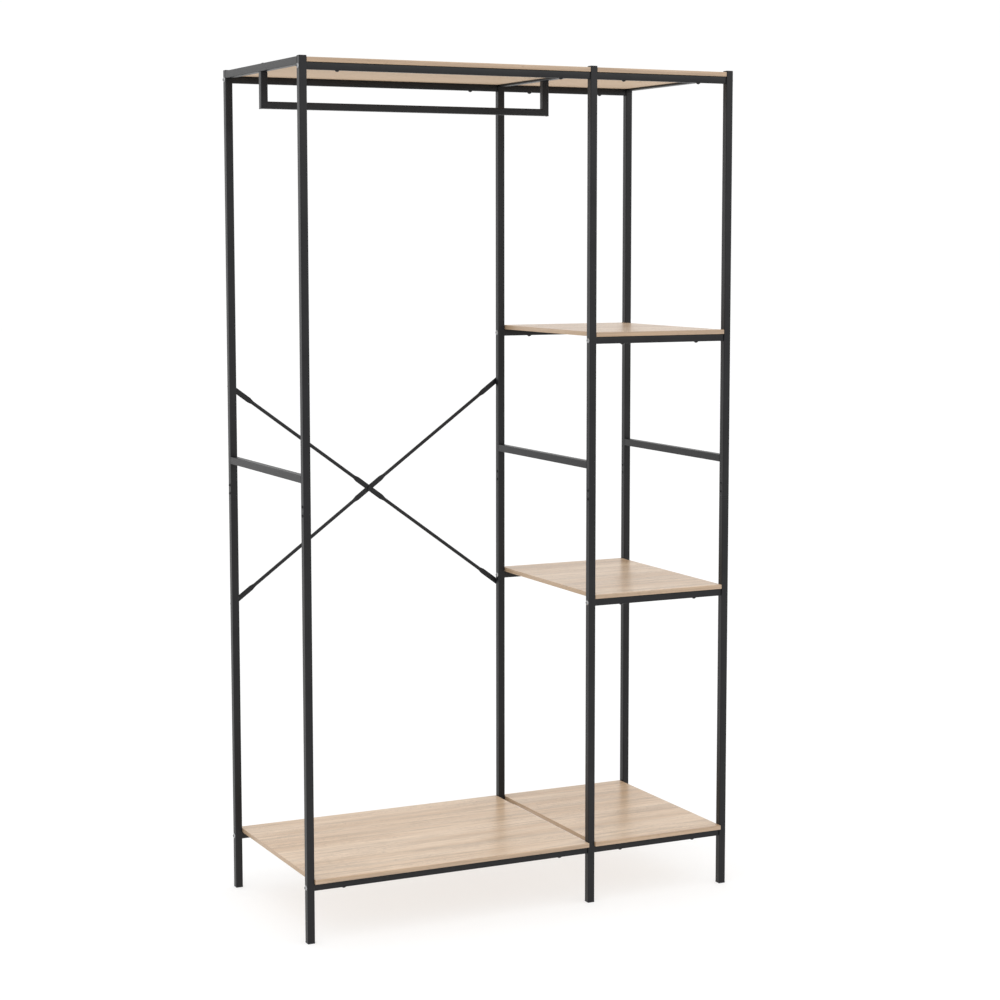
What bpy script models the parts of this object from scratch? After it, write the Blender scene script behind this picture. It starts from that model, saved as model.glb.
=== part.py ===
"""Open wardrobe: three steel side frames, long rails, oak boards, a hanging bar and a crossed brace.

Metres, +Z up, +X to the right and -Y to the front. The origin lies on the floor in the middle of the
footprint. The left bay holds the hanging bar, the right bay holds two shelves between its top and
bottom boards. Rail bolts and shelf screws are fused with their rail, hanging bolts with their side rail,
and sleeve screws with their post. The bolts of the brace are parts of their own.
"""
import math

import bmesh
import bpy
from mathutils import Matrix, Vector

# Overall sizes
HEIGHT = 1.800
DEPTH = 0.460
LEFT_BAY = 0.635
RIGHT_BAY = 0.317
CLEARANCE = 0.0003
FUSE_DEPTH = 0.0001

# Square tube of the side frames
POST = 0.016
POST_WALL = 0.0010
POST_CORNER = 0.0016

# Joint between leg and upper post, and the middle side rail's top above it
JOINT_HEIGHT = 0.872
MIDDLE_RAIL_RISE = 0.094
SLEEVE_REACH = 0.042
SLEEVE_WALL = 0.0014
SLEEVE_LAP = 0.003
SLEEVE_SCREW_RISES = (0.013, 0.031)

# Long rails and boards
RAIL_HEIGHT = 0.015
RAIL_DEPTH = 0.010
RAIL_WALL = 0.0010
RAIL_CORNER = 0.0012
RAIL_RECESS = 0.003
INSERT_LENGTH = 0.014
INSERT_SETBACK = 0.0005
BOARD_THICKNESS = 0.0095
BOARD_END_GAP = 0.0015
BOARD_SETBACK = 0.0005
BOARD_ROUNDING = 0.0008
BOARD_TOPS = {
    "top": HEIGHT - 0.003,
    "upper": 1.2415,
    "lower": 0.678,
    "bottom": 0.1345,
}
BOARD_OVERHANGS = {"top": 0.0, "upper": 0.0, "lower": 0.0, "bottom": 0.006}
LEVELS = {"left": ("top", "bottom"), "right": ("top", "upper", "lower", "bottom")}

# Hanging bar, its top set below the top of the frames
BAR_TUBE = 0.015
BAR_WALL = 0.0010
BAR_CORNER = 0.0016
BAR_DROP = 0.0785

# Crossed brace
ROD_RADIUS = 0.004
FLAT_HALF_WIDTH = 0.006
FLAT_HALF_THICKNESS = 0.0010
FLAT_SQUARENESS = 0.5
END_MARGIN = 0.007
END_FLAT = 0.052
CENTRE_FLAT = 0.036
FLAT_TAPER = 0.010
BRACE_HIGH = 1.118
BRACE_LOW = 0.640
ROD_SIDES = 12

# Rounded end of a flat: share of the end margin, share of the half width
FLAT_END = ((0.0, 0.55), (0.4, 0.9), (0.8, 1.0))

# Plastic caps and feet
CAP_LIP = 0.0015
CAP_PLUG = 0.008
FOOT_LIP = 0.003
FOOT_PLUG = 0.012
LIP_CHAMFER = 0.0008

# Fasteners: radius of the shank, radius and height of the head
RAIL_BOLT = (0.0025, 0.0055, 0.0034)
SHELF_SCREW = (0.0020, 0.0046, 0.0028)
SLEEVE_SCREW = (0.0020, 0.0033, 0.0018)
BRACE_BOLT = (0.0025, 0.0048, 0.0026)
HANGING_BOLT = (0.0025, 0.0045, 0.0024)
BOLT_ENGAGEMENT = 0.010
SHELF_SCREW_BITE = 0.006
SHELF_SCREW_INSET = 0.067
SLEEVE_SCREW_BITE = 0.002
NUT_RADIUS = 0.0048
NUT_HEIGHT = 0.004
DOME_FLAT = 0.62
DOME_EDGE = 0.35
PAN_FLAT = 0.7
BOLT_SIDES = 8
SCREW_SIDES = 6
HOLE_SIDES = 6

# Places that follow from the sizes above
FRAMES = ("left", "centre", "right")
WIDTH = LEFT_BAY + RIGHT_BAY + 3 * POST
POST_X = {
    "left": -WIDTH / 2 + POST / 2,
    "centre": -WIDTH / 2 + LEFT_BAY + 1.5 * POST,
    "right": WIDTH / 2 - POST / 2,
}
BAYS = {"left": ("left", "centre"), "right": ("centre", "right")}
ROD_BOW = FLAT_HALF_THICKNESS + CLEARANCE / 2
BRACE_SEAT = FLAT_HALF_THICKNESS + CLEARANCE
BRACE_REACH = BRACE_SEAT + ROD_BOW + max(ROD_RADIUS, BRACE_SEAT + BRACE_BOLT[2])
FRONT_REACH = max(0.0, max(BOARD_OVERHANGS.values()) - BOARD_SETBACK)
FRONT_Y = (FRONT_REACH - DEPTH - BRACE_REACH) / 2
REAR_Y = FRONT_Y + DEPTH
MIDDLE_Y = FRONT_Y + DEPTH / 2
POST_Y = {"front": FRONT_Y + POST / 2, "rear": REAR_Y - POST / 2}
RAIL_Y = {
    "front": FRONT_Y + RAIL_RECESS + RAIL_DEPTH / 2,
    "rear": REAR_Y - RAIL_RECESS - RAIL_DEPTH / 2,
}
TUBE_TOP = HEIGHT - CAP_LIP
MIDDLE_RAIL_TOP = JOINT_HEIGHT + MIDDLE_RAIL_RISE
BAR_TOP = HEIGHT - BAR_DROP

# Directions
AXES = {"x": Vector((1, 0, 0)), "y": Vector((0, 1, 0)), "z": Vector((0, 0, 1))}
UP = AXES["z"]
REARWARD = AXES["y"]
OUTWARD = {"left": -AXES["x"], "centre": -AXES["x"], "right": AXES["x"]}

# Colour, roughness and metallic value of each finish
FINISHES = {
    "black_steel": ((0.022, 0.022, 0.024), 0.45, 0.3),
    "oak": ((0.72, 0.58, 0.43), 0.55, 0.0),
    "zinc": ((0.62, 0.62, 0.60), 0.30, 1.0),
    "black_plastic": ((0.015, 0.015, 0.016), 0.55, 0.0),
}


def clear_scene():
    """Remove whatever the open file holds."""
    for obj in list(bpy.data.objects):
        bpy.data.objects.remove(obj, do_unlink=True)


def new_collection(name):
    """Add an empty collection to the scene."""
    collection = bpy.data.collections.new(name)
    bpy.context.scene.collection.children.link(collection)
    return collection


clear_scene()
PARTS = new_collection("wardrobe")
TOOLS = new_collection("wardrobe cutters")
ROOT = bpy.data.objects.new("wardrobe_origin", None)
PARTS.objects.link(ROOT)


def new_material(name, colour, roughness, metallic):
    """Make a Principled material of one even colour."""
    material = bpy.data.materials.new(name)
    material.use_nodes = True
    shader = material.node_tree.nodes["Principled BSDF"]
    shader.inputs["Base Color"].default_value = (*colour, 1.0)
    shader.inputs["Roughness"].default_value = roughness
    shader.inputs["Metallic"].default_value = metallic
    material.diffuse_color = (*colour, 1.0)
    return material


def mesh_from(name, bm):
    """Store a bmesh as a mesh and free it."""
    mesh = bpy.data.meshes.new(name)
    bm.to_mesh(mesh)
    bm.free()
    return mesh


def add_part(name, bm, location, finish):
    """Turn a bmesh into a named part with a material of its own."""
    mesh = mesh_from(name, bm)
    mesh.materials.append(new_material(f"{name}_{finish}", *FINISHES[finish]))
    obj = bpy.data.objects.new(name, mesh)
    obj.location = location
    PARTS.objects.link(obj)
    obj.parent = ROOT
    return obj


def add_copy(name, mesh, location, direction, finish):
    """Part that copies a mesh, with the mesh's +Z turned to a direction."""
    bm = bmesh.new()
    bm.from_mesh(mesh)
    part = add_part(name, bm, location, finish)
    part.rotation_euler = facing(direction).to_euler()
    return part


def add_tool(name, bm):
    """Working object that shapes parts and is no part itself."""
    obj = bpy.data.objects.new(name, mesh_from(name, bm))
    obj.hide_render = True
    obj.display_type = "WIRE"
    TOOLS.objects.link(obj)
    return obj


def baked_mesh(obj):
    """Evaluated mesh of a working object, which is then removed."""
    bpy.context.view_layer.update()
    mesh = bpy.data.meshes.new_from_object(obj.evaluated_get(bpy.context.evaluated_depsgraph_get()))
    bpy.data.objects.remove(obj)
    return mesh


def facing(direction):
    """Rotation that turns +Z to a direction."""
    return UP.rotation_difference(direction).to_matrix().to_4x4()


def combine(target, tool, operation):
    """Fuse a closed tool with a part, or cut it out of the part."""
    boolean = target.modifiers.new(tool.name, "BOOLEAN")
    boolean.operation = operation
    boolean.solver = "EXACT"
    boolean.object = tool


def fuse(target, label, pieces):
    """Fuse copies of meshes, each a (mesh, centre, direction of its +Z), with the tube that carries them."""
    bm = bmesh.new()
    for mesh, centre, direction in pieces:
        first = len(bm.verts)
        bm.from_mesh(mesh)
        bm.verts.ensure_lookup_table()
        bmesh.ops.transform(bm, matrix=Matrix.Translation(centre) @ facing(direction), verts=bm.verts[first:])
    combine(target, add_tool(f"{target.name} {label}", bm), "UNION")


def drill(target, holes):
    """Cut round holes, each a (centre, axis, radius, length), out of a part."""
    bm = bmesh.new()
    for centre, axis, radius, length in holes:
        place = Matrix.Translation(centre) @ facing(AXES[axis])
        bmesh.ops.create_cone(
            bm, cap_ends=True, segments=HOLE_SIDES, radius1=radius, radius2=radius, depth=length, matrix=place
        )
    combine(target, add_tool(f"{target.name} holes", bm), "DIFFERENCE")


def hole_radius(shank_radius):
    """Corner radius of a faceted hole that clears a shank all round."""
    return (shank_radius + CLEARANCE) / math.cos(math.pi / HOLE_SIDES)


def box_bmesh(size):
    """Box of the given size round the origin."""
    bm = bmesh.new()
    bmesh.ops.create_cube(bm, size=1.0)
    bmesh.ops.scale(bm, vec=size, verts=bm.verts)
    return bm


def open_box(size, axis):
    """Box of the given size without its two end faces along the axis."""
    bm = box_bmesh(size)
    ends = [face for face in bm.faces if round(face.normal.dot(AXES[axis]))]
    bmesh.ops.delete(bm, geom=ends, context="FACES_ONLY")
    return bm


def make_tube(obj, wall, corner, segments):
    """Round the long edges of an open box and give it a wall inwards."""
    rounding = obj.modifiers.new("rounded edges", "BEVEL")
    rounding.width = corner
    rounding.segments = segments
    rounding.limit_method = "ANGLE"
    shell = obj.modifiers.new("wall", "SOLIDIFY")
    shell.thickness = wall
    shell.offset = -1
    shell.use_even_offset = True


def tube(name, centre, size, axis, wall, corner, segments=2):
    """Rectangular steel tube, open at both ends, with rounded long edges."""
    obj = add_part(name, open_box(size, axis), centre, "black_steel")
    make_tube(obj, wall, corner, segments)
    return obj


def turned_mesh(name, profile, sides):
    """Turn a profile of (radius, height) points, listed down its outer side, round Z, with a flat to +X."""
    bm = bmesh.new()
    points = [bm.verts.new((radius, 0, height)) for radius, height in profile]
    for start, end in zip(points, points[1:]):
        bm.edges.new((start, end))
    obj = add_tool(name, bm)
    turning = obj.modifiers.new("turning", "SCREW")
    turning.angle = 2 * math.pi
    turning.steps = sides
    turning.render_steps = sides
    turning.use_merge_vertices = True
    turning.merge_threshold = CLEARANCE / 10
    mesh = baked_mesh(obj)
    mesh.transform(Matrix.Rotation(math.pi / sides, 4, "Z"))
    return mesh


def dome_profile(sizes):
    """Upper half of a low domed head that sits on z = 0."""
    _, head, rise = sizes
    return [(0, rise), (head * DOME_FLAT, rise), (head, rise * DOME_EDGE), (head, 0)]


def bolt_mesh(name, sizes, length):
    """Bolt with a low domed head above z = 0 and its shank below."""
    shank = sizes[0]
    return turned_mesh(name, dome_profile(sizes) + [(shank, 0), (shank, -length), (0, -length)], BOLT_SIDES)


def screw_mesh(name, sizes, length):
    """Screw with a tapered pan head above z = 0 and its shank below."""
    shank, head, rise = sizes
    pan = [(0, rise), (head * PAN_FLAT, rise), (head, 0)]
    return turned_mesh(name, pan + [(shank, 0), (shank, -length), (0, -length)], SCREW_SIDES)


def nutted_mesh(name, sizes, grip):
    """Bolt and nut in one, tightened on what lies between them."""
    shank = sizes[0]
    nut = [(NUT_RADIUS, -grip), (NUT_RADIUS, -grip - NUT_HEIGHT), (0, -grip - NUT_HEIGHT)]
    return turned_mesh(name, dome_profile(sizes) + [(shank, 0), (shank, -grip)] + nut, BOLT_SIDES)


def sleeve_half(label, width, length, rise):
    """Short square tube, centred at a height, as a working object."""
    bm = open_box((width, width, length), "z")
    bmesh.ops.translate(bm, vec=(0, 0, rise), verts=bm.verts)
    half = add_tool(f"sleeve_{label}_half", bm)
    make_tube(half, SLEEVE_WALL, POST_CORNER, segments=1)
    return half


def sleeve_mesh():
    """Sleeve that grips the leg below z = 0 and slides into the upper post above it."""
    inner = POST - 2 * POST_WALL
    grip = SLEEVE_REACH - CLEARANCE
    lower = sleeve_half("lower", inner + 2 * FUSE_DEPTH, grip, -(SLEEVE_REACH + CLEARANCE) / 2)
    slide = SLEEVE_REACH + SLEEVE_LAP
    upper = sleeve_half("upper", inner - 2 * CLEARANCE, slide, (SLEEVE_REACH - SLEEVE_LAP) / 2)
    combine(lower, upper, "UNION")
    mesh = baked_mesh(lower)
    bpy.data.objects.remove(upper)
    return mesh


def insert_mesh(name, size):
    """Block that fills a tube's end, sized to grip the tube's walls."""
    return mesh_from(name, box_bmesh([length + 2 * FUSE_DEPTH for length in size]))


def make_hardware():
    """Meshes of the fasteners, inserts and sleeves, made once and copied."""
    through = POST + 2 * CLEARANCE + BOLT_ENGAGEMENT
    reach = POST / 2 + CLEARANCE + BOLT_ENGAGEMENT
    stud = [(0, reach), (RAIL_BOLT[0], reach), (RAIL_BOLT[0], -reach), (0, -reach)]
    sleeve_screw = POST_WALL + CLEARANCE + SLEEVE_WALL + SLEEVE_SCREW_BITE
    shelf_screw = RAIL_HEIGHT + CLEARANCE + SHELF_SCREW_BITE
    rail_bore = (INSERT_LENGTH, RAIL_DEPTH - 2 * RAIL_WALL, RAIL_HEIGHT - 2 * RAIL_WALL)
    bar_bore = BAR_TUBE - 2 * BAR_WALL
    return {
        "sleeve": sleeve_mesh(),
        "rail bolt": bolt_mesh("rail_bolt", RAIL_BOLT, through),
        "stud": turned_mesh("connecting_stud", stud, BOLT_SIDES),
        "hanging bolt": bolt_mesh("hanging_bolt", HANGING_BOLT, through),
        "sleeve screw": screw_mesh("sleeve_screw", SLEEVE_SCREW, sleeve_screw),
        "shelf screw": screw_mesh("shelf_screw", SHELF_SCREW, shelf_screw),
        "rail insert": insert_mesh("rail_insert", rail_bore),
        "drop insert": insert_mesh("drop_insert", (bar_bore, bar_bore, INSERT_LENGTH)),
    }


def bay_edges(bay):
    """Inner X limits of a bay, at the posts' faces."""
    low, high = BAYS[bay]
    return POST_X[low] + POST / 2, POST_X[high] - POST / 2


def rail_height(level):
    """Height of a long rail's centre line below its board."""
    return BOARD_TOPS[level] - BOARD_THICKNESS - CLEARANCE - RAIL_HEIGHT / 2


def screw_places(bay):
    """X of the two shelf screws along each rail of a bay."""
    low, high = bay_edges(bay)
    return low + SHELF_SCREW_INSET, high - SHELF_SCREW_INSET


def bolt_holes(frame, side, lowest, highest):
    """Holes along X where long rails are bolted through a post between two heights."""
    holes = []
    for level in LEVELS["left" if frame == "left" else "right"]:
        centre = (POST_X[frame], RAIL_Y[side], rail_height(level))
        if lowest < rail_height(level) < highest:
            holes.append((centre, "x", hole_radius(RAIL_BOLT[0]), 2 * POST))
    return holes


def brace_holes(frame, side, lowest, highest):
    """Holes in the rear wall of the left bay's rear posts for the brace bolts between two heights."""
    if side != "rear" or frame not in BAYS["left"]:
        return []
    holes = []
    for height in (BRACE_LOW, BRACE_HIGH):
        centre = (POST_X[frame], REAR_Y, height)
        if lowest < height < highest:
            holes.append((centre, "y", hole_radius(BRACE_BOLT[0]), 4 * POST_WALL))
    return holes


def build_upper_post(frame, side, hardware):
    """Upper post from the leg joint to the top cap, with its bolt holes, and with sleeve screws whose
    holes are open in the face opposite their heads."""
    bottom = JOINT_HEIGHT + CLEARANCE
    centre = (POST_X[frame], POST_Y[side], (bottom + TUBE_TOP) / 2)
    post = tube(f"{frame}_{side}_upper_post", centre, (POST, POST, TUBE_TOP - bottom), "z", POST_WALL, POST_CORNER)
    outward = OUTWARD[frame]
    screws = []
    holes = bolt_holes(frame, side, bottom, TUBE_TOP) + brace_holes(frame, side, bottom, TUBE_TOP)
    for rise in SLEEVE_SCREW_RISES:
        middle = Vector((POST_X[frame], POST_Y[side], JOINT_HEIGHT + rise))
        screws.append((hardware["sleeve screw"], middle + (POST / 2 - FUSE_DEPTH) * outward, outward))
        holes.append((middle - (POST / 2) * outward, "x", hole_radius(SLEEVE_SCREW[0]), 4 * POST_WALL))
    fuse(post, "sleeve screws", screws)
    drill(post, holes)


def build_leg(frame, side, hardware):
    """Leg from the foot to the joint, with its bolt holes and the sleeve that stands out of it."""
    centre = (POST_X[frame], POST_Y[side], (FOOT_LIP + JOINT_HEIGHT) / 2)
    leg = tube(f"{frame}_{side}_leg", centre, (POST, POST, JOINT_HEIGHT - FOOT_LIP), "z", POST_WALL, POST_CORNER)
    joint = Vector((POST_X[frame], POST_Y[side], JOINT_HEIGHT))
    fuse(leg, "sleeve", [(hardware["sleeve"], joint, UP)])
    holes = bolt_holes(frame, side, FOOT_LIP, JOINT_HEIGHT) + brace_holes(frame, side, FOOT_LIP, JOINT_HEIGHT)
    for rise in SLEEVE_SCREW_RISES:
        holes.append((joint + rise * UP, "x", hole_radius(SLEEVE_SCREW[0]), 2 * POST))
    drill(leg, holes)


def build_side_rail(frame, label, top, hardware):
    """Side rail between the front and rear upper posts of a frame."""
    length = DEPTH - 2 * POST - 2 * CLEARANCE
    centre = (POST_X[frame], MIDDLE_Y, top - POST / 2)
    rail = tube(f"{frame}_{label}_side_rail", centre, (POST, length, POST), "y", POST_WALL, POST_CORNER)
    if label == "top" and frame in BAYS["left"]:
        fuse(rail, "hanging bolt", [(hardware["hanging bolt"], (POST_X[frame], MIDDLE_Y, top - FUSE_DEPTH), UP)])


def build_frames(hardware):
    """The three side frames: posts, legs and side rails."""
    for frame in FRAMES:
        for side in POST_Y:
            build_upper_post(frame, side, hardware)
            build_leg(frame, side, hardware)
        build_side_rail(frame, "top", TUBE_TOP, hardware)
        build_side_rail(frame, "middle", MIDDLE_RAIL_TOP, hardware)


def end_bolt(bay, level, frame, side, hardware):
    """Bolt that holds a rail's end to a frame, or None where the left bay's stud reaches in."""
    centre = Vector((POST_X[frame], RAIL_Y[side], rail_height(level)))
    if frame == "centre" and level in LEVELS["left"]:
        return (hardware["stud"], centre, OUTWARD[frame]) if bay == "left" else None
    return hardware["rail bolt"], centre + (POST / 2 + CLEARANCE) * OUTWARD[frame], OUTWARD[frame]


def build_long_rail(bay, level, side, hardware):
    """Long rail under a board, with an insert and a bolt at each end and two shelf screws."""
    low, high = bay_edges(bay)
    height = rail_height(level)
    centre = ((low + high) / 2, RAIL_Y[side], height)
    size = (high - low - 2 * CLEARANCE, RAIL_DEPTH, RAIL_HEIGHT)
    rail = tube(f"{bay}_{level}_{side}_rail", centre, size, "x", RAIL_WALL, RAIL_CORNER, segments=1)
    inset = CLEARANCE + INSERT_SETBACK + INSERT_LENGTH / 2
    inserts = []
    bolts = []
    holes = []
    for frame, x in zip(BAYS[bay], (low + inset, high - inset)):
        inserts.append((hardware["rail insert"], (x, RAIL_Y[side], height), UP))
        bolt = end_bolt(bay, level, frame, side, hardware)
        if bolt:
            bolts.append(bolt)
        else:
            holes.append(((x, RAIL_Y[side], height), "x", hole_radius(RAIL_BOLT[0]), 2 * INSERT_LENGTH))
    screws = []
    for x in screw_places(bay):
        seat = (x, RAIL_Y[side], height - RAIL_HEIGHT / 2 + FUSE_DEPTH)
        screws.append((hardware["shelf screw"], seat, -UP))
        holes.append(((x, RAIL_Y[side], height + RAIL_HEIGHT / 2), "z", hole_radius(SHELF_SCREW[0]), 4 * RAIL_WALL))
    fuse(rail, "inserts", inserts)
    fuse(rail, "bolts", bolts)
    drill(rail, holes)
    fuse(rail, "shelf screws", screws)


def build_board(bay, level):
    """Board that lies on its two rails between the frames, with pilot holes for its screws."""
    low, high = bay_edges(bay)
    top = BOARD_TOPS[level]
    overhang = BOARD_OVERHANGS[level]
    centre = ((low + high) / 2, MIDDLE_Y - overhang / 2, top - BOARD_THICKNESS / 2)
    size = (high - low - 2 * BOARD_END_GAP, DEPTH - 2 * BOARD_SETBACK + overhang, BOARD_THICKNESS)
    board = add_part(f"{bay}_{level}_board", box_bmesh(size), centre, "oak")
    rounding = board.modifiers.new("rounded edges", "BEVEL")
    rounding.width = BOARD_ROUNDING
    rounding.segments = 1
    depth = SHELF_SCREW_BITE + CLEARANCE
    holes = []
    for x in screw_places(bay):
        for y in RAIL_Y.values():
            holes.append(((x, y, top - BOARD_THICKNESS), "z", hole_radius(SHELF_SCREW[0]), 2 * depth))
    drill(board, holes)


def build_bays(hardware):
    """Rails and boards of both bays."""
    for bay, levels in LEVELS.items():
        for level in levels:
            for side in RAIL_Y:
                build_long_rail(bay, level, side, hardware)
            build_board(bay, level)


def mitre(target, corner, inward):
    """Cut the end of a tube at 45 degrees along the plane through the U's outer corner."""
    reach = 4 * BAR_TUBE
    normal = Vector(inward).normalized()
    bm = box_bmesh((reach, reach, reach))
    place = Matrix.Translation(Vector(corner) - normal * (reach - CLEARANCE) / 2) @ facing(normal)
    bmesh.ops.transform(bm, matrix=place, verts=bm.verts)
    combine(target, add_tool(f"{target.name} mitre", bm), "DIFFERENCE")


def build_hanging_bar(hardware):
    """Hanging bar with two drops, mitred at the lower corners, that hangs from the top side rails."""
    left_x, right_x = (POST_X[frame] for frame in BAYS["left"])
    bottom = BAR_TOP - BAR_TUBE
    drop_top = TUBE_TOP - POST - CLEARANCE
    centre = ((left_x + right_x) / 2, MIDDLE_Y, BAR_TOP - BAR_TUBE / 2)
    size = (right_x - left_x + BAR_TUBE, BAR_TUBE, BAR_TUBE)
    bar = tube("hanging_bar", centre, size, "x", BAR_WALL, BAR_CORNER)
    for label, x, inner in (("left", left_x, 1), ("right", right_x, -1)):
        centre = (x, MIDDLE_Y, (drop_top + bottom) / 2)
        size = (BAR_TUBE, BAR_TUBE, drop_top - bottom)
        drop = tube(f"hanging_bar_{label}_drop", centre, size, "z", BAR_WALL, BAR_CORNER)
        corner = (x - inner * BAR_TUBE / 2, MIDDLE_Y, bottom)
        mitre(bar, corner, (inner, 0, -1))
        mitre(drop, corner, (-inner, 0, 1))
        seat = (x, MIDDLE_Y, drop_top - INSERT_SETBACK - INSERT_LENGTH / 2)
        fuse(drop, "insert", [(hardware["drop insert"], seat, UP)])
        drill(drop, [(seat, "z", hole_radius(HANGING_BOLT[0]), 2 * INSERT_LENGTH)])


def rod_sections(length, bow):
    """Sections along a rod: distance, half width, half thickness, flatness and sideways bow."""
    half = length / 2
    tip = half + END_MARGIN
    left = []
    for margin_share, width_share in FLAT_END:
        left.append((-tip + margin_share * END_MARGIN, width_share * FLAT_HALF_WIDTH, FLAT_HALF_THICKNESS, 1, 0))
    left.append((-half + END_FLAT, FLAT_HALF_WIDTH, FLAT_HALF_THICKNESS, 1, 0))
    left.append((-half + END_FLAT + FLAT_TAPER, ROD_RADIUS, ROD_RADIUS, 0, 0))
    left.append((-CENTRE_FLAT - FLAT_TAPER, ROD_RADIUS, ROD_RADIUS, 0, bow))
    left.append((-CENTRE_FLAT, FLAT_HALF_WIDTH, FLAT_HALF_THICKNESS, 1, bow))
    right = [(-distance, wide, thick, flat, shift) for distance, wide, thick, flat, shift in reversed(left)]
    return left + right


def section_point(angle, wide, thick, flat):
    """Point on a section that runs from a circle (flat 0) to a rounded strip (flat 1)."""
    power = 1 - FLAT_SQUARENESS * flat
    across = math.copysign(abs(math.cos(angle)) ** power, math.cos(angle))
    through = math.copysign(abs(math.sin(angle)) ** power, math.sin(angle))
    return wide * across, thick * through


def build_rod(name, start, end, bow):
    """Lofted rod between two bolt holes, flattened at both ends and in the middle."""
    run = end - start
    middle = (start + end) / 2
    bm = bmesh.new()
    rings = []
    for distance, wide, thick, flat, shift in rod_sections(run.length, bow):
        ring = []
        for index in range(ROD_SIDES):
            across, through = section_point(2 * math.pi * index / ROD_SIDES, wide, thick, flat)
            ring.append(bm.verts.new((distance, through + shift, across)))
        rings.append(ring)
    for near, far in zip(rings, rings[1:]):
        for index in range(ROD_SIDES):
            after = (index + 1) % ROD_SIDES
            bm.faces.new((near[index], near[after], far[after], far[index]))
    bm.faces.new(rings[0])
    bm.faces.new(rings[-1])
    bmesh.ops.recalc_face_normals(bm, faces=bm.faces)
    rod = add_part(name, bm, middle, "black_steel")
    rod.rotation_euler.y = -math.atan2(run.z, run.x)
    radius = hole_radius(BRACE_BOLT[0])
    drill(rod, [(place, "y", radius, 8 * ROD_RADIUS) for place in (start, middle, end)])


def build_brace():
    """Two crossed rods behind the left bay, each end bolted to a post and the crossing bolted through."""
    flat_y = REAR_Y + BRACE_SEAT
    end_grip = 2 * BRACE_SEAT + POST_WALL + CLEARANCE
    end_bolt = nutted_mesh("brace_end_bolt", BRACE_BOLT, end_grip)
    corners = {}
    for frame in BAYS["left"]:
        for label, height in (("upper", BRACE_HIGH), ("lower", BRACE_LOW)):
            corner = Vector((POST_X[frame], flat_y, height))
            corners[frame, label] = corner
            seat = corner + BRACE_SEAT * REARWARD
            add_copy(f"brace_{frame}_{label}_bolt", end_bolt, seat, REARWARD, "zinc")
    build_rod("falling_brace_rod", corners["left", "upper"], corners["centre", "lower"], -ROD_BOW)
    build_rod("rising_brace_rod", corners["left", "lower"], corners["centre", "upper"], ROD_BOW)
    crossing = (corners["left", "upper"] + corners["centre", "lower"]) / 2
    crossing_seat = ROD_BOW + BRACE_SEAT
    crossing_bolt = nutted_mesh("brace_crossing_bolt", BRACE_BOLT, 2 * crossing_seat)
    add_copy("brace_crossing_bolt", crossing_bolt, crossing + crossing_seat * REARWARD, REARWARD, "zinc")


def plug_mesh(name, lip, plug_length):
    """Square lip below z = 0 with a narrower plug above, drawn out of its top face."""
    bm = box_bmesh((POST, POST, lip))
    bmesh.ops.translate(bm, vec=(0, 0, -lip / 2), verts=bm.verts)
    top = max(bm.faces, key=lambda face: face.calc_center_median().z)
    rim = [edge for edge in bm.edges if edge not in top.edges]
    bmesh.ops.inset_region(bm, faces=[top], thickness=POST_WALL + CLEARANCE, use_even_offset=True)
    drawn = bmesh.ops.extrude_face_region(bm, geom=[top])
    raised = [item for item in drawn["geom"] if isinstance(item, bmesh.types.BMVert)]
    bmesh.ops.delete(bm, geom=[top], context="FACES_ONLY")
    bmesh.ops.translate(bm, vec=(0, 0, plug_length), verts=raised)
    sides = [edge for edge in bm.edges if len(set(edge.verts) & set(raised)) == 1]
    bmesh.ops.bevel(bm, geom=rim + sides, offset=LIP_CHAMFER, segments=1, affect="EDGES")
    bmesh.ops.recalc_face_normals(bm, faces=bm.faces)
    return mesh_from(name, bm)


def build_caps_and_feet():
    """Plastic caps in the post tops, and a foot in the bottom of each leg."""
    cap = plug_mesh("cap", CAP_LIP - CLEARANCE, CAP_PLUG)
    foot = plug_mesh("foot", FOOT_LIP - CLEARANCE, FOOT_PLUG)
    for frame in FRAMES:
        for side in POST_Y:
            top = (POST_X[frame], POST_Y[side], TUBE_TOP + CLEARANCE)
            add_copy(f"{frame}_{side}_cap", cap, top, -UP, "black_plastic")
            bottom = (POST_X[frame], POST_Y[side], FOOT_LIP - CLEARANCE)
            add_copy(f"{frame}_{side}_foot", foot, bottom, UP, "black_plastic")


def main():
    """Build the wardrobe."""
    hardware = make_hardware()
    build_frames(hardware)
    build_bays(hardware)
    build_hanging_bar(hardware)
    build_brace()
    build_caps_and_feet()


main()
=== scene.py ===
"""Looks of an open wardrobe: powder-coated tube, oak-faced boards, zinc-plated bolts and moulded caps.

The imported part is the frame. Posts, legs, most side rails, hanging bar, brace rods, caps and feet stay and
get their finishes. Long rails, two top side rails, boards and brace bolts are modelled again in finer
detail. Heads, nuts and weld beads are added.
"""

import logging
import math
from collections.abc import Callable, Iterator
from contextlib import contextmanager
from dataclasses import dataclass
from enum import Enum

import bmesh
import bpy
from bpy.types import Material, NodeSocket, Object
from mathutils import Matrix, Vector


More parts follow.
